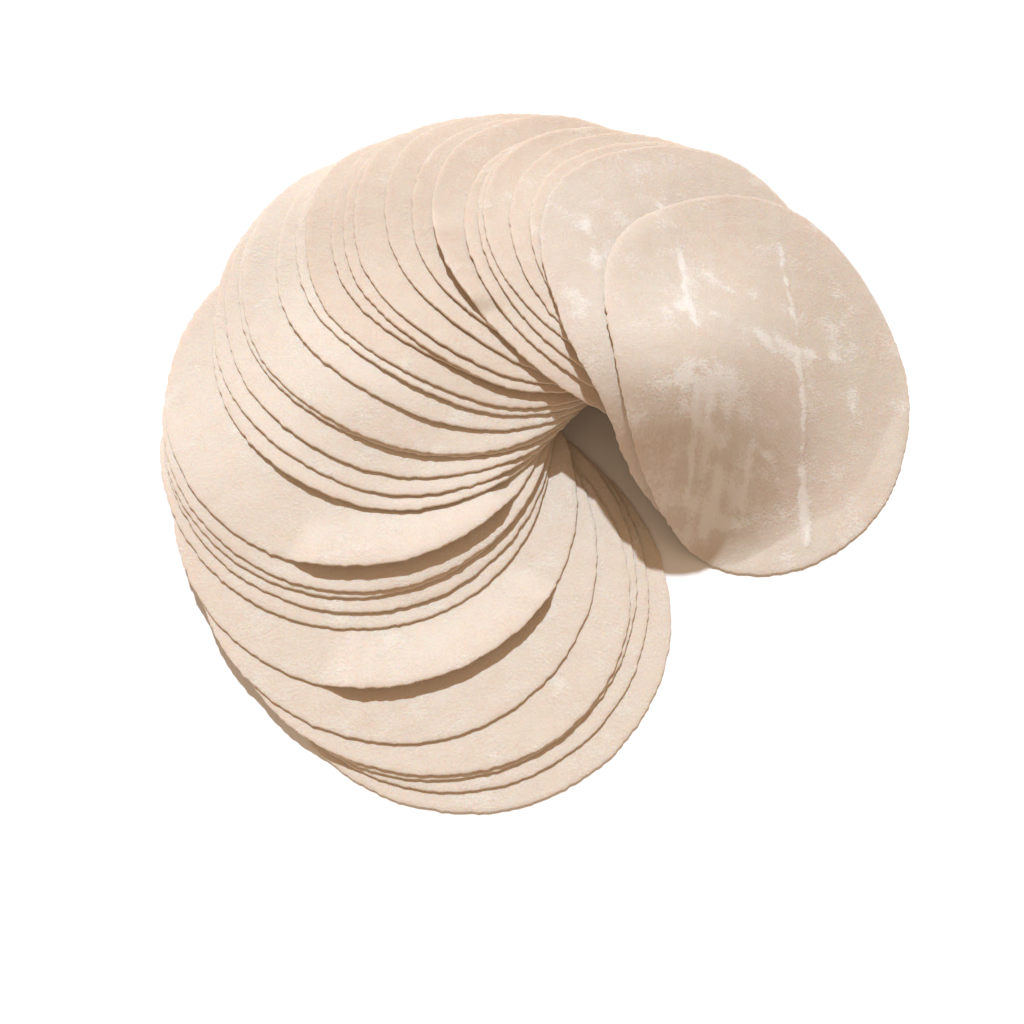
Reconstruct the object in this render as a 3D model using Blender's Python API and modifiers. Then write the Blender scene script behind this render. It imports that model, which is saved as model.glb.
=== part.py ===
"""Thirty-two round dumpling wrappers laid in a fan round one shared point, each lying on the ones before it.

The first wrapper lies flat on the table. Each later one rests on the pile and sags under its own weight and a share
of the weight of the wrappers lying over it. Its shape is the lowest smooth sheet that clears what is already there.
Lengths below are millimetres, bearings are degrees anticlockwise from +X, and the result is in metres with +Z up.
"""

import math

import bmesh
import bpy
import numpy as np

METRES_PER_MM = 0.001

# The dough: its thickness, the air left under each wrapper, and the length over which a sheet of it sags, which is
# shorter for the softer last two.
DOUGH_THICKNESS = 0.60
AIR_GAP = 0.30
SAG_LENGTH = 11.0
SOFT_SAG_LENGTHS = {31: 8.0, 32: 7.0}
SOFT_AIR_GAP = 1.0

# How hard the pile pushes back, the share of its weight that each later wrapper passes on to the dough beneath it,
# and how far out from its centre it presses, as a share of its radius.
CONTACT_STIFFNESS = 20000.0
PASSED_ON = 0.5
PRESSING_SHARE = 0.96

# The fan. Each row is one wrapper, from the table up: the bearing of its centre from the fan's shared point, the
# distance between the two, its mean radius, how far from round it is in percent, and the bearing of its long axis.
SHARED_POINT = (-0.5, -4.5)
WRAPPERS = (
    (242.0, 42.0, 46.5, 0.5, 30),
    (234.0, 41.0, 46.0, 0.5, 30),
    (228.5, 41.0, 46.0, 0.0, 0),
    (228.0, 43.5, 45.0, 3.0, 170),
    (214.5, 43.5, 45.0, 1.0, 5),
    (197.5, 43.0, 45.5, 1.5, 30),
    (180.0, 46.0, 45.0, 0.5, 65),
    (174.5, 46.0, 45.5, 1.0, 75),
    (171.5, 46.5, 45.0, 2.0, 60),
    (169.5, 46.5, 45.5, 1.5, 60),
    (165.0, 47.5, 45.0, 1.5, 40),
    (144.5, 46.0, 45.0, 3.0, 85),
    (140.5, 46.5, 45.5, 0.5, 115),
    (134.5, 47.0, 46.0, 0.5, 130),
    (128.5, 47.0, 45.5, 2.5, 170),
    (127.5, 47.0, 45.5, 2.5, 170),
    (116.5, 47.5, 45.0, 3.5, 160),
    (110.0, 48.0, 44.5, 5.5, 160),
    (108.0, 48.0, 44.0, 6.5, 160),
    (100.0, 50.0, 44.0, 6.0, 165),
    (96.5, 49.5, 44.5, 5.0, 165),
    (93.5, 50.0, 44.5, 6.5, 160),
    (87.0, 50.0, 43.5, 8.5, 145),
    (81.5, 51.0, 42.0, 7.5, 155),
    (73.5, 45.5, 44.5, 13.0, 130),
    (63.0, 46.5, 45.0, 9.0, 135),
    (62.5, 47.0, 43.5, 10.5, 130),
    (62.0, 47.5, 42.5, 12.0, 130),
    (53.5, 48.5, 44.0, 10.0, 125),
    (49.0, 51.0, 43.5, 7.5, 135),
    (39.5, 46.0, 47.5, 12.0, 105),
    (20.0, 51.0, 48.5, 4.0, 80),
)

# Slight waves in every outline: waves per turn, height as a share of the radius, and the shift from one wrapper
# to the next in radians.
OUTLINE_WAVES = ((3, 0.004, 2.4), (5, 0.002, 1.7))

# How finely each wrapper is divided.
SEGMENTS = 28
RING_SHARES = (0.0, 0.3, 0.55, 0.78, 1.0)
HEIGHT_POWERS = 7
SOFT_HEIGHT_POWERS = 9

# The grid on which the pile's upper surface is known, and how often each wrapper's shape is refined.
GRID_STEP = 0.9
GRID_HALF = 112.0
EDGE_MARGIN = 1.1
SHAPE_ROUNDS = 3
MOST_CONTACT_ROUNDS = 60
SMALLEST_PIVOT = 1e-6
FIRST_KEPT = 0.97
RAY_SHARES = np.linspace(0.05, 0.95, 10)

# Dough colours: cream, and how much each wrapper's brightness strays from it.
DOUGH_COLOUR = (0.86, 0.74, 0.60)
BRIGHTNESS_STRAY = 0.03
BRIGHTNESS_SHIFT = 2.4
DOUGH_ROUGHNESS = 0.62

DIRECTIONS = np.arange(SEGMENTS) * 2 * math.pi / SEGMENTS


def clear_scene():
    for item in list(bpy.data.objects):
        bpy.data.objects.remove(item, do_unlink=True)


def centre_of(row):
    """Centre of a wrapper from its bearing and distance."""
    bearing = math.radians(row[0])
    return (
        SHARED_POINT[0] + row[1] * math.cos(bearing),
        SHARED_POINT[1] + row[1] * math.sin(bearing),
    )


def outline(row, number, kept, bearing):
    """Distance in plan from a wrapper's centre to its edge, at bearings in radians.

    Dough that slopes keeps its own length, so in plan each direction keeps only the share given by kept.
    """
    share = 1 + row[3] / 100 * np.cos(2 * (bearing - math.radians(row[4])))
    for waves, height, shift in OUTLINE_WAVES:
        share = share + height * np.sin(waves * bearing + number * shift)
    return row[2] * share * np.interp(bearing, DIRECTIONS, kept, period=2 * math.pi)


def powers(x, y, most):
    """Every product of powers of x and y up to the most given, with its first and second derivatives."""
    x_powers = [x**n for n in range(most + 1)]
    y_powers = [y**n for n in range(most + 1)]

    def term(scale, a, b):
        if not scale:
            return np.zeros_like(x)
        return scale * x_powers[a] * y_powers[b]

    columns = [[] for _ in range(6)]
    for a in range(most + 1):
        for b in range(most + 1 - a):
            columns[0].append(term(1, a, b))
            columns[1].append(term(a, a - 1, b))
            columns[2].append(term(b, a, b - 1))
            columns[3].append(term(a * (a - 1), a - 2, b))
            columns[4].append(term(a * b, a - 1, b - 1))
            columns[5].append(term(b * (b - 1), a, b - 2))
    return [np.stack(column, axis=-1) for column in columns]


def corners_of(row, number, kept):
    """Corners of one wrapper in plan, ring by ring from its centre, each ring starting at bearing 0."""
    edge = outline(row, number, kept, DIRECTIONS)
    ring = np.stack((edge * np.cos(DIRECTIONS), edge * np.sin(DIRECTIONS)), axis=-1)
    return np.concatenate([share * ring for share in RING_SHARES])


def spread(edge, x, y):
    """Weights that carry heights at a wrapper's corners to the points x, y, straight between corners."""
    turn = np.mod(np.arctan2(y, x), 2 * math.pi) * SEGMENTS / (2 * math.pi)
    left = np.floor(turn).astype(int) % SEGMENTS
    right = (left + 1) % SEGMENTS
    across = turn - np.floor(turn)
    shares = np.array(RING_SHARES)
    share = np.clip(np.hypot(x, y) / edge, 0, 1)
    inner = np.clip(np.searchsorted(shares, share, side="right") - 1, 0, len(shares) - 2)
    out = (share - shares[inner]) / (shares[inner + 1] - shares[inner])
    weights = np.zeros((len(x), SEGMENTS * len(shares)))
    points = np.arange(len(x))
    for ring, ring_weight in ((inner, 1 - out), (inner + 1, out)):
        for side, side_weight in ((left, 1 - across), (right, across)):
            np.add.at(weights, (points, ring * SEGMENTS + side), ring_weight * side_weight)
    return weights


def load_over(grid_x, grid_y, above):
    """Weight on each point of a wrapper: its own, and a share of each later wrapper's that lies over the point."""
    load = np.ones_like(grid_x)
    for row in above:
        centre = centre_of(row)
        load += PASSED_ON * (np.hypot(grid_x - centre[0], grid_y - centre[1]) < PRESSING_SHARE * row[2])
    return load


def balance(at_grid, floor, load, stiffness):
    """Sizes of the powers when stiffness, weight and the push from below balance.

    Every point is first taken as pushed. Points left above the floor are let go and points below it are pushed
    again, round by round, until nothing changes.
    """
    area = GRID_STEP**2
    weight = area * load @ at_grid
    pushed = np.ones(len(floor), dtype=bool)
    for _ in range(MOST_CONTACT_ROUNDS):
        held = at_grid[pushed]
        push = area * CONTACT_STIFFNESS * held.T
        sizes = np.linalg.solve(stiffness + push @ held, push @ floor[pushed] - weight)
        low = at_grid @ sizes < floor
        if np.array_equal(low, pushed):
            break
        pushed = low
    return sizes


def kept_lengths(row, number, kept, sizes, most):
    """Share of its length that the dough keeps in plan, along each direction from its centre."""
    edge = outline(row, number, kept, DIRECTIONS) / row[2]
    x = np.outer(RAY_SHARES, edge * np.cos(DIRECTIONS)).ravel()
    y = np.outer(RAY_SHARES, edge * np.sin(DIRECTIONS)).ravel()
    _, slope_x, slope_y, _, _, _ = powers(x, y, most)
    shape = (len(RAY_SHARES), SEGMENTS)
    across = (slope_x @ sizes / row[2]).reshape(shape) * np.cos(DIRECTIONS)
    along = (slope_y @ sizes / row[2]).reshape(shape) * np.sin(DIRECTIONS)
    return 1 / np.sqrt(1 + (across + along) ** 2).mean(axis=0)


def settle(row, number, above, grid_x, grid_y, pile):
    """Corners of one wrapper in plan, their heights where it comes to rest, and the pile raised by it."""
    radius = row[2]
    x = grid_x - centre_of(row)[0]
    y = grid_y - centre_of(row)[1]
    bearing = np.arctan2(y, x)
    load = load_over(grid_x, grid_y, above)
    soft = number in SOFT_SAG_LENGTHS
    sag = SOFT_SAG_LENGTHS[number] if soft else SAG_LENGTH
    gap = SOFT_AIR_GAP if soft else AIR_GAP
    most = SOFT_HEIGHT_POWERS if soft else HEIGHT_POWERS
    kept = np.full(SEGMENTS, FIRST_KEPT)
    for _ in range(SHAPE_ROUNDS):
        reach = outline(row, number, kept, bearing)
        under = np.hypot(x, y) <= reach + EDGE_MARGIN
        terms = powers(x[under] / radius, y[under] / radius, most)
        bends = terms[3].T @ terms[3] + 2 * terms[4].T @ terms[4] + terms[5].T @ terms[5]
        stiffness = bends * GRID_STEP**2 * sag**3 / radius**4
        stiffness += SMALLEST_PIVOT * np.eye(len(stiffness))
        corners = corners_of(row, number, kept)
        at_corners = powers(corners[:, 0] / radius, corners[:, 1] / radius, most)[0]
        at_grid = spread(reach[under], x[under], y[under]) @ at_corners
        floor = pile[under] + np.where(pile[under] > 0, gap, 0)
        sizes = balance(at_grid, floor, load[under], stiffness)
        kept = kept_lengths(row, number, kept, sizes, most)
    steep = np.sqrt(1 + ((terms[1] @ sizes) ** 2 + (terms[2] @ sizes) ** 2) / radius**2)
    raised = pile.copy()
    raised[under] = np.maximum(pile[under], at_grid @ sizes + DOUGH_THICKNESS * steep)
    return corners, np.maximum(at_corners @ sizes, 0), raised


def dough(number):
    """Plain dough, its brightness straying a little from one wrapper to the next."""
    bright = 1 + BRIGHTNESS_STRAY * math.sin(number * BRIGHTNESS_SHIFT)
    material = bpy.data.materials.new(f"dough_{number:02d}")
    material.use_nodes = True
    shader = material.node_tree.nodes["Principled BSDF"]
    colour = [min(1.0, channel * bright) for channel in DOUGH_COLOUR]
    shader.inputs["Base Color"].default_value = (*colour, 1)
    shader.inputs["Roughness"].default_value = DOUGH_ROUGHNESS
    return material


def wrapper(row, number, corners, heights, middle):
    """One wrapper: a disc of rings spun from a radial line, lifted to its heights and given its thickness."""
    name = f"wrapper_{number:02d}"
    sheet = bmesh.new()
    line = [sheet.verts.new((share, 0, 0)) for share in RING_SHARES]
    edges = [sheet.edges.new(pair) for pair in zip(line, line[1:])]
    bmesh.ops.spin(
        sheet,
        geom=line + edges,
        cent=(0, 0, 0),
        axis=(0, 0, 1),
        angle=2 * math.pi,
        steps=SEGMENTS,
        use_merge=True,
    )
    bmesh.ops.remove_doubles(sheet, verts=sheet.verts, dist=1e-4)
    placed = np.column_stack((corners, heights)) * METRES_PER_MM
    shares = np.array(RING_SHARES)
    for corner in sheet.verts:
        ring = int(np.argmin(abs(shares - math.hypot(corner.co.x, corner.co.y))))
        turn = math.atan2(corner.co.y, corner.co.x) / (2 * math.pi)
        side = round(turn * SEGMENTS) % SEGMENTS if ring else 0
        corner.co = placed[ring * SEGMENTS + side]
    bmesh.ops.recalc_face_normals(sheet, faces=sheet.faces)
    if sum(face.normal.z for face in sheet.faces) < 0:
        bmesh.ops.reverse_faces(sheet, faces=sheet.faces)
    mesh = bpy.data.meshes.new(name)
    sheet.to_mesh(mesh)
    sheet.free()
    disc = bpy.data.objects.new(name, mesh)
    bpy.context.scene.collection.objects.link(disc)
    centre = centre_of(row)
    disc.location = (
        (centre[0] - middle[0]) * METRES_PER_MM,
        (centre[1] - middle[1]) * METRES_PER_MM,
        0,
    )
    thickness = disc.modifiers.new("thickness", "SOLIDIFY")
    thickness.thickness = DOUGH_THICKNESS * METRES_PER_MM
    thickness.offset = 1
    thickness.use_even_offset = True
    disc.data.materials.append(dough(number))
    return disc


def main():
    clear_scene()
    steps = np.arange(-GRID_HALF, GRID_HALF + GRID_STEP / 2, GRID_STEP)
    grid_x, grid_y = np.meshgrid(steps, steps, indexing="ij")
    pile = np.zeros_like(grid_x)
    laid = []
    for number, row in enumerate(WRAPPERS, start=1):
        corners, heights, pile = settle(row, number, WRAPPERS[number:], grid_x, grid_y, pile)
        laid.append((row, number, corners, heights))
    every_corner = np.concatenate([item[2] + centre_of(item[0]) for item in laid])
    middle = (every_corner.min(axis=0) + every_corner.max(axis=0)) / 2
    for item in laid:
        wrapper(*item, middle)


main()
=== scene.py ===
"""Thirty-two floured dumpling wrappers laid in a fan, dressed with soft cut edges, creases and flour.

Shapes are worked out in millimetres. The view, the floor and the finishes are in metres.
"""

import math

import bpy
import mathutils
import numpy as np
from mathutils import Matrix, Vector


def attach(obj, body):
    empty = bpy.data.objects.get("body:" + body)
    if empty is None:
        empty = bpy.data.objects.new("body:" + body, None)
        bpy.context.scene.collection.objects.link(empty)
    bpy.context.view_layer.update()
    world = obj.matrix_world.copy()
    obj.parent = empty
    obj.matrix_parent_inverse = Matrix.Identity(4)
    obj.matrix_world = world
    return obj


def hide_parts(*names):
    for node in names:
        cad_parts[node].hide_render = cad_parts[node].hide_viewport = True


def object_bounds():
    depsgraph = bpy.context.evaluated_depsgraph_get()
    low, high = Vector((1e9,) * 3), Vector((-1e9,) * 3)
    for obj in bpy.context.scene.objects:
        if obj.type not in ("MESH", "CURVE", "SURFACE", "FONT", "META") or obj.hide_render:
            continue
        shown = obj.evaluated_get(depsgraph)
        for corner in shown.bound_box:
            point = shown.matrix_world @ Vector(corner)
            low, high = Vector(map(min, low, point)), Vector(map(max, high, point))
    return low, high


MM = 0.001

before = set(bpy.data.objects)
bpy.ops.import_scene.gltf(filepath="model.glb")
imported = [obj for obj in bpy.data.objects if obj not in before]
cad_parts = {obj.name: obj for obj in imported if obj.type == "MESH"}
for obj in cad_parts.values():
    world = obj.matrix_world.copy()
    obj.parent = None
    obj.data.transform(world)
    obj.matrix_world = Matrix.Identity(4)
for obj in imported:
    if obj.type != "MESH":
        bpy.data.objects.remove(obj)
cad_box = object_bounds()

# The view, at the photograph's angle: its elevation above the table, the bearing that it looks from and its
# roll, in degrees, then the point of the table that it looks at and how far off that is. The lens and the
# sensor are in millimetres.
VIEW_ELEVATION = 70.0
VIEW_BEARING = -108.88
VIEW_ROLL = 20.0
VIEW_AIM = (-0.00951, -0.01832, 0.0)
VIEW_DISTANCE = 0.30244
CAMERA_LENS = 45.70
CAMERA_SENSOR = 36.0
CAMERA_NEAR = 0.01

# The light: a sun, a little cool, that comes over the back of the fan, and a warm sky. The camera sees a
# white backdrop in the sky's place.
SUN_WAY = (0.37, -1.1, -1.4)
SUN_STRENGTH = 3.5
SUN_ANGLE = 1.6
SUN_COLOUR = (0.80, 0.90, 1.0)
SKY_STRENGTH = 0.48
SKY_COLOUR = (1.0, 0.70, 0.46)
BACKDROP_COLOUR = (1.0, 1.0, 1.0)
FLOOR_HALF = 2.0
FLOOR_COLOUR = (0.93, 0.93, 0.935)
FLOOR_ROUGHNESS = 0.8

# The top two wrappers carry the creases and most of the flour. Below them, the later ones are darker: painted
# shade.
TOP_WRAPPER = "wrapper_32"
SECOND_WRAPPER = "wrapper_31"
# The top two wrappers' dough is also darker: painted shade under their real flour.
FLOURY = (SECOND_WRAPPER, TOP_WRAPPER)
FIRST_SHADED = 19

# Reading a solid: the shortest side that a triangle has outside the rim, the decimals that corners keep, how
# near two corners are when they are the same, the waves per turn that fit the outline, the powers that fit
# the heights, how much points inside the triangles count beside their corners, and the least pivot kept.
SHORTEST_SIDE = 2.0
PLACE_DECIMALS = 3
SAME_PLACE = 0.01
OUTLINE_WAVES = 8
HEIGHT_POWERS = 7
INNER_WEIGHT = 0.05
LEAST_PIVOT = 1e-9

# The dough sheet: its thickness, how far it lies below the solid's underside, the least gap to the pile,
# how far its outline is drawn in, and how far it stays below the solids' top.
THICKNESS = 0.76
SINK = 0.05
LEAST_GAP = 0.04
OUTLINE_SHRINK = 0.25
TOP_MARGIN = 0.02

# The cut edge: how far in its rounding starts and how deep it goes, how far the rim bulges, and how far
# short of the edge the upper face stops.
RIM_RUN = 1.2
RIM_DROP = 0.2
RIM_BULGE = 0.22
RIM_INSET = 0.3

# The unevenness of the cut edge: waves per turn, how their heights differ, how they weaken with their number
# and how high they are, then the jags, what a jag passes on to the next, and how far the edge is drawn in.
EDGE_WAVES = (11, 17, 29, 41, 67, 97)
EDGE_WAVE_SPREAD = (0.3, 1)
EDGE_WEAKENING = 0.6
EDGE_WAVE_HEIGHT = 0.26
EDGE_JAG_HEIGHT = 0.07
JAG_PASSED_ON = 0.7
EDGE_SHRINK = 0.1

# The rolling of the face: height and length of its slow and of its quick waves, how far in from the edge it
# is whole, how many waves make a field, and how their lengths differ.
SLOW_ROLL = (0.05, 9)
QUICK_ROLL = (0.02, 3.5)
ROLL_RUN = 2.0
WAVES_IN_FIELD = 14
LENGTH_SPREAD = (0.7, 1.5)

# Seeds. The quick waves' and the edge's are added to the wrapper's number, and the flour's to the streak's.
QUICK_SEED = 100
EDGE_SEED = 500
FLOUR_SEED = 700

# How finely a wrapper is divided: points round it, rings of its upper face and rings of its lower face. The
# steps round its rim count both ends, and the rings of the upper face crowd towards the edge.
PLAIN_RINGS = (400, 36, 9)
FLOURY_RINGS = (480, 90, 14)
RIM_STEPS = 6
RING_CROWDING = 0.9

# The map on which the pile's upper surface is known. A wrapper is looked at some cells beyond its edge, and
# it covers the pile a little beyond it. A rise that it needs is spread, then smoothed twice, by some cells.
MAP_STEP = 0.75
MAP_HALF = 105.0
CELLS_BEYOND = 2
COVERED_BEYOND = 0.2
RISE_SPREAD = 4
RISE_SMOOTHING = 2

# Edges that stand off the dough beneath: first and last bearing in degrees, height, and how far in the lift
# reaches. The lift fades over so many degrees at both ends.
LIFTED = {
    "wrapper_06": (255, 335, 2.4, 15),
    "wrapper_11": (250, 325, 2.4, 15),
    "wrapper_25": (167, 213, 1.7, 9),
}
LIFT_FADE = 9.0

# Rolled creases and floury streaks, from the wrapper's own centre: start, end, width, height of the crease,
# and how much flour it holds. The last row of the top wrapper is a broad patch with no crease, partly flour
# and partly painted highlight that lightens the slope there, which faces away from the sun.
CREASES = {
    TOP_WRAPPER: (
        ((7.5, 36.0), (9.5, 8.0), 0.5, 0.15, 0.90),
        ((9.5, 8.0), (10.5, -20.0), 0.55, 0.25, 1.30),
        ((10.5, -20.0), (12.5, -41.0), 0.8, 0.25, 1.60),
        ((-20.5, 32.0), (-21.0, -2.0), 0.6, 0.10, 0.70),
        ((-17.5, 31.0), (-18.5, 8.0), 1.4, 0.05, 0.25),
        ((-26.0, 20.0), (-26.0, -6.0), 1.6, 0.05, 0.25),
        ((-22.0, -12.0), (-20.5, -36.0), 0.5, 0.12, 1.00),
        ((-18.5, -14.0), (-18.0, -26.0), 0.5, 0.12, 1.00),
        ((-28.0, 16.0), (-14.0, 16.5), 2.2, 0.03, 0.25),
        ((-14.0, 17.0), (2.0, 18.0), 1.3, 0.04, 0.30),
        ((-28.0, 6.0), (-8.0, 5.0), 2.2, 0.03, 0.25),
        ((-10.0, 4.0), (26.0, 6.5), 1.6, 0.05, 0.50),
        ((-9.5, -22.0), (6.5, -21.5), 0.9, 0.05, 0.50),
        ((-4.5, -19.0), (-6.0, -39.0), 0.9, 0.08, 0.55),
        ((-12.0, -37.0), (3.0, -36.0), 1.4, 0.04, 0.35),
        ((21.0, -2.0), (30.0, -3.0), 1.8, 0.04, 0.50),
        ((28.0, -2.0), (23.0, -14.0), 1.3, 0.06, 0.50),
        ((24.0, 14.0), (28.0, 6.0), 2.0, 0.04, 0.45),
        ((22.0, -24.0), (27.0, -30.0), 1.6, 0.04, 0.40),
        # Partly flour and partly painted highlight, lightening a slope that faces away from the sun.
        ((-22.0, -8.0), (-12.0, -42.0), 8.0, 0.0, 0.60),
    ),
    SECOND_WRAPPER: (
        ((-14.0, 32.0), (2.0, 24.0), 0.8, 0.10, 0.50),
        ((-6.0, 36.0), (6.0, 27.0), 0.7, 0.10, 0.50),
        ((-34.0, 14.0), (-24.0, 22.0), 1.8, 0.05, 0.40),
        ((-37.0, 4.0), (-30.0, -12.0), 1.4, 0.06, 0.45),
        ((-30.0, 20.0), (-26.0, 0.0), 1.0, 0.06, 0.40),
    ),
}

# A crease fades at both ends and wanders sideways by a slow wave, and by a quick one of a third of its
# size. Its flour lies wider than the crease, and is broken up by waves round a mean.
CREASE_FADE = 4
WANDER = 0.5
WANDER_LENGTH = 31
STREAK_SPREAD = 1.5
STREAK_MEAN = 0.55
STREAK_SWING = 0.45
STREAK_BREAKS = 5

# Noise in the finishes: waves to a metre, detail and roughness, and how far one wrapper's pattern lies from
# the next one's.
CLOUD_NOISE = (55, 2.0, 0.5)
MOTTLE_NOISE = (260, 3.0, 0.5)
GRAIN_NOISE = (1300, 4.0, 0.7)
PATCH_NOISE = (110, 5.0, 0.65)
SPECK_NOISE = (1500, 3.0, 0.7)
PATTERN_SHIFT = 0.1

# From noise to masks: the levels between which clouds and mottling rise, how much of the mottling shows,
# and the levels of the grain and how much of that shows.
CLOUD_LEVELS = (0.3, 0.7)
MOTTLE_SHARE = 0.35
GRAIN_LEVELS = (0.38, 0.68)
GRAIN_SHARE = 0.55

# The flour: how much the finish's own amount counts beside the streaks, how much both count beside the
# patches, how much the specks do, and the levels between which it rises.
AMOUNT_SHARE = 0.5
WANTED_SHARE = 0.5
SPECK_SHARE = 0.6
FLOUR_LEVELS = (0.88, 1.15)

# The dough's surface: roughness bare and floured, the flour's height beside the grain's, the bump, how much
# light the dough lets through, how far each colour of it goes and how deep, and its shine.
BARE_ROUGHNESS = 0.55
FLOURED_ROUGHNESS = 0.85
FLOUR_HEIGHT = 0.5
BUMP_STRENGTH = 0.8
BUMP_DEPTH = 0.0002
LET_THROUGH = 0.35
LET_THROUGH_REACH = (1.0, 0.45, 0.2)
LET_THROUGH_DEPTH = 0.0015
SHINE = 0.3

# The finishes: base, warm and pale tone of the dough, the colour of its flour, how much there is, and how
# well it covers.
FINISHES = {
    "pale_dough": (
        (0.73, 0.615, 0.51), (0.72, 0.59, 0.48), (0.79, 0.705, 0.625), (0.87, 0.81, 0.74), 0.4, 0.6
    ),
    # Painted shade: a darker copy of the pale dough, for the later wrappers.
    "shaded_dough": (
        (0.675, 0.55, 0.44), (0.665, 0.525, 0.41), (0.74, 0.645, 0.55), (0.84, 0.77, 0.69), 0.3, 0.6
    ),
    # Painted shade: the top two wrappers' dough is darker than the pale dough; their flour is real.
    "floury_dough": (
        (0.645, 0.55, 0.455), (0.66, 0.53, 0.43), (0.715, 0.64, 0.56), (0.84, 0.79, 0.74), 0.3, 0.7
    ),
}


# ---------------------------------------------------------------- reading the frame


def facets(node):
    """Corners of a CAD node's triangles in millimetres, as an array of (triangle, corner, axis)."""
    mesh = node.data
    mesh.calc_loop_triangles()
    places = np.empty(len(mesh.vertices) * 3)
    mesh.vertices.foreach_get("co", places)
    corners = np.empty(len(mesh.loop_triangles) * 3, dtype=int)
    mesh.loop_triangles.foreach_get("vertices", corners)
    return places.reshape(-1, 3)[corners].reshape(-1, 3, 3) / MM


def powers(x, y):
    """Every product of powers of x and y up to HEIGHT_POWERS, with its slopes along x and y."""
    x_powers = [x**n for n in range(HEIGHT_POWERS + 1)]
    y_powers = [y**n for n in range(HEIGHT_POWERS + 1)]
    values = []
    along_x = []
    along_y = []
    for a in range(HEIGHT_POWERS + 1):
        for b in range(HEIGHT_POWERS + 1 - a):
            values.append(x_powers[a] * y_powers[b])
            along_x.append(a * x_powers[max(a - 1, 0)] * y_powers[b])
            along_y.append(b * x_powers[a] * y_powers[max(b - 1, 0)])
    return np.stack(values, -1), np.stack(along_x, -1), np.stack(along_y, -1)


class Lay:
    """How one wrapper lies: its plan centre, its smooth outline and the smooth heights of its underside.

    They are read from its CAD node. Down-facing triangles without a short side make the underside. Corners
    that they share with rim triangles are the outline, whose distance from the centre is fitted by a few
    waves per turn. The heights are fitted by powers of the plan distances.
    """

    def __init__(self, node):
        corners = facets(node)
        sides = np.linalg.norm(corners - np.roll(corners, 1, axis=1), axis=2)
        normals = np.cross(corners[:, 1] - corners[:, 0], corners[:, 2] - corners[:, 0])
        rim = sides.min(axis=1) < SHORTEST_SIDE
        under = corners[~rim & (normals[:, 2] < 0)]
        points = np.unique(np.round(under.reshape(-1, 3), PLACE_DECIMALS), axis=0)
        rim_points = np.unique(np.round(corners[rim].reshape(-1, 3), PLACE_DECIMALS), axis=0)
        shared = (np.abs(points[:, None] - rim_points[None]).max(axis=2) < SAME_PLACE).any(axis=1)
        edge = points[shared]
        self.centre = (edge[:, :2].min(axis=0) + edge[:, :2].max(axis=0)) / 2
        away = edge[:, :2] - self.centre
        bearing = np.arctan2(away[:, 1], away[:, 0])
        self.waves, *_ = np.linalg.lstsq(self.turns(bearing), np.hypot(*away.T), rcond=None)
        self.radius = self.waves[0]
        inner = ((under.mean(axis=1)[:, None] + under) / 2).reshape(-1, 3)
        fitted = np.concatenate((points, inner))
        weights = np.concatenate((np.ones(len(points)), np.full(len(inner), INNER_WEIGHT)))
        terms = self.terms(fitted[:, 0], fitted[:, 1])[0]
        weighted = terms * weights[:, None]
        self.sizes, *_ = np.linalg.lstsq(weighted, fitted[:, 2] * weights, rcond=LEAST_PIVOT)

    @staticmethod
    def turns(bearing):
        """Cosines and sines of the bearing's first few multiples."""
        columns = [np.ones_like(bearing)]
        for waves in range(1, OUTLINE_WAVES + 1):
            columns.append(np.cos(waves * bearing))
            columns.append(np.sin(waves * bearing))
        return np.stack(columns, -1)

    def reach(self, bearing):
        """Distance from the centre to the edge at a bearing in radians."""
        return self.turns(bearing) @ self.waves - OUTLINE_SHRINK

    def terms(self, x, y):
        """Powers of the plan distances from the centre, as shares of the radius."""
        return powers((x - self.centre[0]) / self.radius, (y - self.centre[1]) / self.radius)

    def height(self, x, y):
        """Height of the underside and its slopes."""
        values, along_x, along_y = self.terms(x, y)
        height = values @ self.sizes
        return height, along_x @ self.sizes / self.radius, along_y @ self.sizes / self.radius


# ---------------------------------------------------------------- shaping the dough


def smooth_step(value):
    """Rises from 0 to 1 as value goes from 0 to 1, level at both ends."""
    value = np.clip(value, 0, 1)
    return value * value * (3 - 2 * value)


def rolling(seed, x, y, length):
    """A rolling field between about -1 and 1: plane waves of about one length, in seeded directions."""
    draw = np.random.default_rng(seed)
    field = np.zeros_like(x)
    for _ in range(WAVES_IN_FIELD):
        way = draw.uniform(0, math.pi)
        size = length * draw.uniform(*LENGTH_SPREAD)
        shift = draw.uniform(0, 2 * math.pi)
        field += np.sin(2 * math.pi * (x * math.cos(way) + y * math.sin(way)) / size + shift)
    return field / math.sqrt(WAVES_IN_FIELD / 2) / 2


def line_ridge(x, y, start, end, width, shift):
    """1 on the wandering line from start to end, falling away as a bell of that width, faded at both ends."""
    start = np.array(start)
    way = np.array(end) - start
    length = np.hypot(*way)
    way = way / length
    along = (x - start[0]) * way[0] + (y - start[1]) * way[1]
    across = (x - start[0]) * -way[1] + (y - start[1]) * way[0]
    slow = WANDER * np.sin(2 * math.pi * along / WANDER_LENGTH + shift)
    quick = WANDER / 3 * np.sin(along + shift)
    across = across + slow + quick
    fade = smooth_step(along / CREASE_FADE) * smooth_step((length - along) / CREASE_FADE)
    return np.exp(-((across / width) ** 2)) * fade


def relief(name, number, x, y):
    """How far the dough's face stands above its even sheet, in millimetres, at distances from its centre."""
    slow, slow_length = SLOW_ROLL
    quick, quick_length = QUICK_ROLL
    raised = slow * rolling(number, x, y, slow_length)
    raised = raised + quick * rolling(number + QUICK_SEED, x, y, quick_length)
    for index, (start, end, width, height, _) in enumerate(CREASES.get(name, ())):
        raised = raised + height * line_ridge(x, y, start, end, width, index)
    return raised


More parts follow.
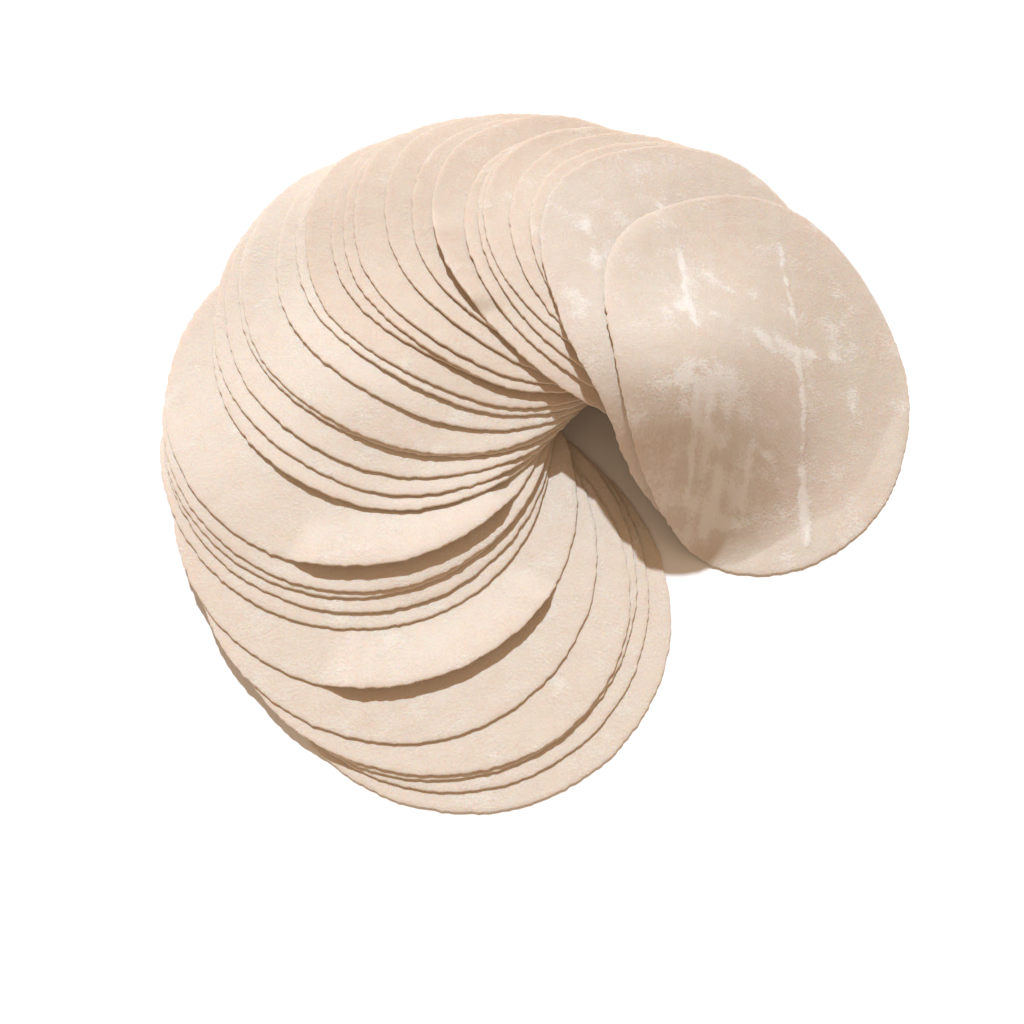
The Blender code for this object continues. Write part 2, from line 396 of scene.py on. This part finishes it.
def standing_off(name, bearing, from_edge):
    """How far a lifted edge stands off the dough beneath, in millimetres."""
    if name not in LIFTED:
        return np.zeros_like(from_edge)
    first, last, height, run = LIFTED[name]
    turned = np.mod(np.degrees(bearing), 360)
    window = smooth_step((turned - first) / LIFT_FADE) * smooth_step((last - turned) / LIFT_FADE)
    return height * window * smooth_step(1 - from_edge / run)


def streaks_and_highlight(name, x, y):
    """How much flour lies in streaks, from 0 to 1. The top wrapper's broad patch among them is partly painted
    highlight.
    """
    held = np.zeros_like(x)
    for index, (start, end, width, _, flour) in enumerate(CREASES.get(name, ())):
        broken = STREAK_MEAN + STREAK_SWING * rolling(FLOUR_SEED + index, x, y, STREAK_BREAKS)
        held = held + flour * broken * line_ridge(x, y, start, end, STREAK_SPREAD * width, index)
    return np.clip(held, 0, 1)


def spread_out(field, cells):
    """The highest value within so many map cells on both axes."""
    for axis in (0, 1):
        highest = field.copy()
        for shift in range(1, cells + 1):
            highest = np.maximum(highest, np.roll(field, shift, axis))
            highest = np.maximum(highest, np.roll(field, -shift, axis))
        field = highest
    return field


def blurred(field, cells):
    """The mean over so many map cells each way on both axes."""
    for axis in (0, 1):
        total = field.copy()
        for shift in range(1, cells + 1):
            total = total + np.roll(field, shift, axis) + np.roll(field, -shift, axis)
        field = total / (2 * cells + 1)
    return field


def on_map(field, x, y):
    """The map's value at plan points, straight between its cells."""
    across = (x + MAP_HALF) / MAP_STEP
    along = (y + MAP_HALF) / MAP_STEP
    i = np.clip(np.floor(across).astype(int), 0, field.shape[0] - 2)
    j = np.clip(np.floor(along).astype(int), 0, field.shape[1] - 2)
    u = across - i
    v = along - j
    near = field[i, j] * (1 - u) + field[i + 1, j] * u
    far = field[i, j + 1] * (1 - u) + field[i + 1, j + 1] * u
    return near * (1 - v) + far * v


def grid_mesh(name, sheet, patterns):
    """A closed mesh from rings of points: sheet is (ring, side, axis), its first and last rings the poles.

    Each pattern becomes a point attribute: numbers where its last axis has one value, and vectors otherwise.
    """
    rings, sides, _ = sheet.shape
    body = sheet[1:-1].reshape(-1, 3)
    poles = np.stack((sheet[0].mean(axis=0), sheet[-1].mean(axis=0)))
    points = np.concatenate((body, poles))
    ring, side = np.meshgrid(np.arange(rings - 3), np.arange(sides), indexing="ij")
    after = (side + 1) % sides
    this_ring = ring * sides
    next_ring = (ring + 1) * sides
    quads = np.stack((this_ring + side, next_ring + side, next_ring + after, this_ring + after), -1)
    around = np.arange(sides)
    first = len(body)
    top_fan = np.stack((np.full(sides, first), around, (around + 1) % sides), -1)
    last_ring = (rings - 3) * sides
    low_fan = np.stack((np.full(sides, first + 1), last_ring + (around + 1) % sides, last_ring + around), -1)
    mesh = bpy.data.meshes.new(name)
    mesh.from_pydata(points * MM, [], quads.reshape(-1, 4).tolist() + top_fan.tolist() + low_fan.tolist())
    mesh.polygons.foreach_set("use_smooth", np.ones(len(mesh.polygons), dtype=bool))
    for label, values in patterns.items():
        kept = np.concatenate((values[1:-1].reshape(-1, values.shape[-1]), [values[0, 0], values[-1, 0]]))
        if values.shape[-1] == 1:
            mesh.attributes.new(label, "FLOAT", "POINT").data.foreach_set("value", kept.ravel())
        else:
            mesh.attributes.new(label, "FLOAT_VECTOR", "POINT").data.foreach_set("vector", kept.ravel())
    mesh.update()
    piece = bpy.data.objects.new(name, mesh)
    bpy.context.scene.collection.objects.link(piece)
    return piece


def rough_edge(number, bearing):
    """Small unevenness of the cut edge in millimetres: seeded waves round the turn, and fine jags on them."""
    draw = np.random.default_rng(EDGE_SEED + number)
    uneven = np.zeros_like(bearing)
    for waves in EDGE_WAVES:
        height = draw.uniform(*EDGE_WAVE_SPREAD)
        shift = draw.uniform(0, 2 * math.pi)
        uneven += height * np.sin(waves * bearing + shift) / waves**EDGE_WEAKENING
    jags = draw.normal(size=len(bearing))
    jags = jags + JAG_PASSED_ON * np.roll(jags, 1)
    return EDGE_WAVE_HEIGHT * uneven + EDGE_JAG_HEIGHT * jags - EDGE_SHRINK


def dough_piece(name, number, lay, pile, map_x, map_y, highest):
    """One wrapper as a closed polar sheet, resting on the pile, and the pile raised by it.

    The upper face runs from the middle to the edge, where it rounds over to the lower face, which runs back.
    Nothing rises above the highest level given.
    """
    sides, upper_rings, lower_rings = FLOURY_RINGS if name in FLOURY else PLAIN_RINGS

    bearing = np.arctan2(map_y - lay.centre[1], map_x - lay.centre[0])
    out = np.hypot(map_x - lay.centre[0], map_y - lay.centre[1])
    inside = out <= lay.reach(bearing) + CELLS_BEYOND * MAP_STEP
    height, slope_x, slope_y = lay.height(map_x[inside], map_y[inside])
    standing = standing_off(name, bearing[inside], np.maximum(lay.reach(bearing) - out, 0)[inside])
    height = np.maximum(height - SINK, 0) + standing
    short = np.zeros_like(pile)
    short[inside] = np.maximum(pile[inside] + np.where(pile[inside] > 0, LEAST_GAP, 0) - height, 0)
    rise = blurred(blurred(spread_out(short, RISE_SPREAD), RISE_SMOOTHING), RISE_SMOOTHING)

    turn = np.arange(sides) * 2 * math.pi / sides
    reach = lay.reach(turn) + rough_edge(number, turn)
    share = np.sin(np.linspace(0, math.pi / 2, upper_rings)) ** RING_CROWDING
    share = share * (1 - RIM_INSET / lay.radius)
    lower_share = np.linspace(share[-1], 0, lower_rings)

    def face(shares):
        """Points of the underside at shares of the reach, and which way is up from the sheet there."""
        x = lay.centre[0] + np.outer(shares, reach * np.cos(turn))
        y = lay.centre[1] + np.outer(shares, reach * np.sin(turn))
        z, slope_x, slope_y = lay.height(x, y)
        standing = standing_off(name, np.broadcast_to(turn, x.shape), np.outer(1 - shares, reach))
        z = np.maximum(z - SINK, 0) + standing + on_map(rise, x, y)
        steep = np.sqrt(1 + slope_x**2 + slope_y**2)
        normal = np.stack((-slope_x / steep, -slope_y / steep, 1 / steep), -1)
        return np.stack((x, y, z), -1), normal

    upper, upper_normal = face(share)
    lower, _ = face(lower_share)
    own_x = upper[..., 0] - lay.centre[0]
    own_y = upper[..., 1] - lay.centre[1]
    from_edge = np.outer(1 - share, reach)
    rounded = RIM_DROP * (1 - np.clip(from_edge / RIM_RUN, 0, 1)) ** 2
    thick = THICKNESS - rounded + relief(name, number, own_x, own_y) * smooth_step(from_edge / ROLL_RUN)
    top = upper + upper_normal * thick[..., None]
    middle = (top[-1] + lower[0]) / 2
    half = (top[-1] - lower[0]) / 2
    outward = np.stack((np.cos(turn), np.sin(turn), np.zeros(sides)), -1)
    rim = []
    for angle in np.linspace(0, math.pi, RIM_STEPS)[1:-1]:
        bulge = RIM_BULGE * math.sin(angle)
        rim.append(middle + half * math.cos(angle) + outward * bulge)
    sheet = np.concatenate((top, np.stack(rim), lower))
    sheet[..., 2] = np.clip(sheet[..., 2], 0, highest)

    own_x = sheet[..., 0] - lay.centre[0]
    own_y = sheet[..., 1] - lay.centre[1]
    own = np.stack((own_x * MM, own_y * MM, np.full(own_x.shape, number * PATTERN_SHIFT)), -1)
    # Flour in streaks, with the top wrapper's broad patch, which is partly painted highlight.
    flour = streaks_and_highlight(name, own_x, own_y)[..., None]
    piece = grid_mesh(name.replace("wrapper", "dough_wrapper"), sheet, {"own": own, "streak_and_highlight": flour})

    steep = np.sqrt(1 + slope_x**2 + slope_y**2)
    raised = pile.copy()
    covered = (out <= lay.reach(bearing) + COVERED_BEYOND)[inside]
    level = height + rise[inside] + THICKNESS * steep
    raised[inside] = np.where(covered, np.maximum(pile[inside], level), pile[inside])
    return piece, raised


# ---------------------------------------------------------------- finishes


def new_group(name, inputs, outputs):
    """An empty shader node group with named sockets, and its two ends."""
    group = bpy.data.node_groups.new(name, "ShaderNodeTree")
    for label, kind, value in inputs:
        socket = group.interface.new_socket(label, in_out="INPUT", socket_type=kind)
        if value is not None:
            socket.default_value = value
    for label, kind in outputs:
        group.interface.new_socket(label, in_out="OUTPUT", socket_type=kind)
    return group, group.nodes.new("NodeGroupInput"), group.nodes.new("NodeGroupOutput")


def noise(tree, vector, scale, detail, rough):
    """Noise round one half at a vector."""
    node = tree.nodes.new("ShaderNodeTexNoise")
    node.inputs["Scale"].default_value = scale
    node.inputs["Detail"].default_value = detail
    node.inputs["Roughness"].default_value = rough
    tree.links.new(vector, node.inputs["Vector"])
    return node.outputs["Fac"]


def span(tree, value, levels, ends=(0.0, 1.0)):
    """value carried smoothly from between two levels to between two ends, and held outside them."""
    node = tree.nodes.new("ShaderNodeMapRange")
    node.interpolation_type = "SMOOTHSTEP"
    tree.links.new(value, node.inputs["Value"])
    for label, number in zip(("From Min", "From Max", "To Min", "To Max"), (*levels, *ends)):
        node.inputs[label].default_value = number
    return node.outputs["Result"]


def worked_out(tree, kind, first, second):
    """Two values, each a number or a socket, put through one kind of sum."""
    node = tree.nodes.new("ShaderNodeMath")
    node.operation = kind
    for socket, value in zip(node.inputs, (first, second)):
        if isinstance(value, (int, float)):
            socket.default_value = value
        else:
            tree.links.new(value, socket)
    return node.outputs["Value"]


def times(tree, first, second):
    """The product of two values."""
    return worked_out(tree, "MULTIPLY", first, second)


def plus(tree, first, second):
    """Two values added."""
    return worked_out(tree, "ADD", first, second)


def mix_colour(tree, factor, first, second):
    """first where the factor is 0 and second where it is 1, each a colour or a socket."""
    node = tree.nodes.new("ShaderNodeMix")
    node.data_type = "RGBA"
    for label, value in (("Factor", factor), ("A", first), ("B", second)):
        socket = next(item for item in node.inputs if item.enabled and item.name == label)
        if isinstance(value, bpy.types.NodeSocket):
            tree.links.new(value, socket)
        else:
            socket.default_value = value
    return next(item for item in node.outputs if item.enabled)


def grain_group():
    """Fine grain and slow mottling of dough, as masks round one half, and the height of the grain."""
    group, source, end = new_group(
        "dough_grain",
        [("Vector", "NodeSocketVector", None)],
        [("Mottle", "NodeSocketFloat"), ("Cloud", "NodeSocketFloat"), ("Grain", "NodeSocketFloat")],
    )
    vector = source.outputs["Vector"]
    cloud = span(group, noise(group, vector, *CLOUD_NOISE), CLOUD_LEVELS)
    mottle = span(group, noise(group, vector, *MOTTLE_NOISE), CLOUD_LEVELS)
    grain = noise(group, vector, *GRAIN_NOISE)
    group.links.new(cloud, end.inputs["Cloud"])
    group.links.new(mottle, end.inputs["Mottle"])
    group.links.new(grain, end.inputs["Grain"])
    return group


def flour_group():
    """Where dry flour lies: ragged patches of fine specks, and the streaks given, whose broad patch on the
    top wrapper is partly painted highlight.
    """
    group, source, end = new_group(
        "dry_flour",
        [
            ("Vector", "NodeSocketVector", None),
            ("Amount", "NodeSocketFloat", 0.5),
            ("Streak", "NodeSocketFloat", 0.0),
        ],
        [("Flour", "NodeSocketFloat")],
    )
    vector = source.outputs["Vector"]
    patch = noise(group, vector, *PATCH_NOISE)
    speck = noise(group, vector, *SPECK_NOISE)
    wanted = plus(group, times(group, source.outputs["Amount"], AMOUNT_SHARE), source.outputs["Streak"])
    level = plus(group, patch, times(group, wanted, WANTED_SHARE))
    ragged = plus(group, level, times(group, speck, SPECK_SHARE))
    mask = span(group, ragged, FLOUR_LEVELS)
    group.links.new(mask, end.inputs["Flour"])
    return group


def dough_material(name, grain, flour):
    """Dough with a warm cast in places and paler grain, floured, matt, and letting a little light in."""
    base, warm, pale, flour_colour, amount, cover = FINISHES[name]
    material = bpy.data.materials.new(name)
    material.use_nodes = True
    tree = material.node_tree
    shader = tree.nodes["Principled BSDF"]
    own = tree.nodes.new("ShaderNodeAttribute")
    own.attribute_name = "own"
    streak_and_highlight = tree.nodes.new("ShaderNodeAttribute")
    streak_and_highlight.attribute_name = "streak_and_highlight"
    grains = tree.nodes.new("ShaderNodeGroup")
    grains.node_tree = grain
    tree.links.new(own.outputs["Vector"], grains.inputs["Vector"])
    dust = tree.nodes.new("ShaderNodeGroup")
    dust.node_tree = flour
    dust.inputs["Amount"].default_value = amount
    tree.links.new(own.outputs["Vector"], dust.inputs["Vector"])
    tree.links.new(streak_and_highlight.outputs["Fac"], dust.inputs["Streak"])

    tone = mix_colour(tree, grains.outputs["Cloud"], (*base, 1), (*warm, 1))
    mottled = mix_colour(tree, times(tree, grains.outputs["Mottle"], MOTTLE_SHARE), tone, (*pale, 1))
    specks = span(tree, grains.outputs["Grain"], GRAIN_LEVELS, (0.0, GRAIN_SHARE))
    grained = mix_colour(tree, specks, mottled, (*pale, 1))
    # The flour mask carries the top wrapper's broad patch too, which is partly painted highlight.
    dusted = mix_colour(tree, times(tree, dust.outputs["Flour"], cover), grained, (*flour_colour, 1))
    tree.links.new(dusted, shader.inputs["Base Color"])
    rough = span(tree, dust.outputs["Flour"], (0, 1), (BARE_ROUGHNESS, FLOURED_ROUGHNESS))
    tree.links.new(rough, shader.inputs["Roughness"])

    heights = plus(tree, grains.outputs["Grain"], times(tree, dust.outputs["Flour"], FLOUR_HEIGHT))
    bump = tree.nodes.new("ShaderNodeBump")
    bump.inputs["Strength"].default_value = BUMP_STRENGTH
    bump.inputs["Distance"].default_value = BUMP_DEPTH
    tree.links.new(heights, bump.inputs["Height"])
    tree.links.new(bump.outputs["Normal"], shader.inputs["Normal"])
    shader.inputs["Subsurface Weight"].default_value = LET_THROUGH
    shader.inputs["Subsurface Radius"].default_value = LET_THROUGH_REACH
    shader.inputs["Subsurface Scale"].default_value = LET_THROUGH_DEPTH
    shader.inputs["Specular IOR Level"].default_value = SHINE
    return material


# ---------------------------------------------------------------- the scene


def add_floor():
    """A plain pale square at the table's level."""
    mesh = bpy.data.meshes.new("floor")
    corners = [(-1, -1, 0), (1, -1, 0), (1, 1, 0), (-1, 1, 0)]
    mesh.from_pydata([(x * FLOOR_HALF, y * FLOOR_HALF, z) for x, y, z in corners], [], [(0, 1, 2, 3)])
    floor = bpy.data.objects.new("floor", mesh)
    bpy.context.scene.collection.objects.link(floor)
    material = bpy.data.materials.new("pale_floor")
    material.use_nodes = True
    shader = material.node_tree.nodes["Principled BSDF"]
    shader.inputs["Base Color"].default_value = (*FLOOR_COLOUR, 1)
    shader.inputs["Roughness"].default_value = FLOOR_ROUGHNESS
    mesh.materials.append(material)


def add_camera():
    """The camera, at the view's elevation and bearing from its aim, and rolled round its line of sight."""
    data = bpy.data.cameras.new("camera")
    data.lens = CAMERA_LENS
    data.sensor_width = CAMERA_SENSOR
    data.clip_start = CAMERA_NEAR
    camera = bpy.data.objects.new("camera", data)
    bpy.context.scene.collection.objects.link(camera)
    elevation = math.radians(VIEW_ELEVATION)
    bearing = math.radians(VIEW_BEARING)
    roll = math.radians(VIEW_ROLL)
    level = mathutils.Vector((-math.sin(bearing), math.cos(bearing), 0))
    outward = mathutils.Vector((math.cos(bearing), math.sin(bearing), 0))
    back = math.cos(elevation) * outward + math.sin(elevation) * mathutils.Vector((0, 0, 1))
    right = math.cos(roll) * level + math.sin(roll) * back.cross(level)
    turned = mathutils.Matrix((right, back.cross(right), back)).transposed()
    place = mathutils.Vector(VIEW_AIM) + VIEW_DISTANCE * back
    camera.matrix_world = mathutils.Matrix.Translation(place) @ turned.to_4x4()
    bpy.context.scene.camera = camera


def add_sun():
    """The sun, which shines along SUN_WAY."""
    data = bpy.data.lights.new("sun", "SUN")
    data.energy = SUN_STRENGTH
    data.angle = math.radians(SUN_ANGLE)
    data.color = SUN_COLOUR
    sun = bpy.data.objects.new("sun", data)
    bpy.context.scene.collection.objects.link(sun)
    sun.rotation_euler = mathutils.Vector(SUN_WAY).to_track_quat("-Z", "Y").to_euler()


def add_sky():
    """The warm sky that lights the wrappers, and the white backdrop that the camera sees."""
    world = bpy.data.worlds.new("sky")
    world.use_nodes = True
    tree = world.node_tree
    sky = tree.nodes["Background"]
    sky.inputs["Color"].default_value = (*SKY_COLOUR, 1)
    sky.inputs["Strength"].default_value = SKY_STRENGTH
    backdrop = tree.nodes.new("ShaderNodeBackground")
    backdrop.inputs["Color"].default_value = (*BACKDROP_COLOUR, 1)
    seen = tree.nodes.new("ShaderNodeLightPath")
    either = tree.nodes.new("ShaderNodeMixShader")
    tree.links.new(seen.outputs["Is Camera Ray"], either.inputs["Fac"])
    tree.links.new(sky.outputs["Background"], either.inputs[1])
    tree.links.new(backdrop.outputs["Background"], either.inputs[2])
    tree.links.new(either.outputs["Shader"], tree.nodes["World Output"].inputs["Surface"])
    bpy.context.scene.world = world


def finish_of(number, name):
    """Which finish a wrapper has. The later ones and the top two get darker dough, as painted shade."""
    if name in FLOURY:
        return "floury_dough"
    return "shaded_dough" if number >= FIRST_SHADED else "pale_dough"


def add_wrappers():
    """Every wrapper from the table up, each cleared of the ones below it."""
    grain = grain_group()
    flour = flour_group()
    materials = {finish: dough_material(finish, grain, flour) for finish in FINISHES}
    steps = np.arange(-MAP_HALF, MAP_HALF + MAP_STEP / 2, MAP_STEP)
    map_x, map_y = np.meshgrid(steps, steps, indexing="ij")
    pile = np.zeros_like(map_x)
    highest = cad_box[1][2] / MM - TOP_MARGIN
    for number, name in enumerate(sorted(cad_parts), start=1):
        lay = Lay(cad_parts[name])
        piece, pile = dough_piece(name, number, lay, pile, map_x, map_y, highest)
        piece.data.materials.append(materials[finish_of(number, name)])
        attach(piece, "root")
        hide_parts(name)


bpy.context.scene.view_settings.view_transform = "Standard"
add_camera()
add_sun()
add_sky()
add_floor()
add_wrappers()
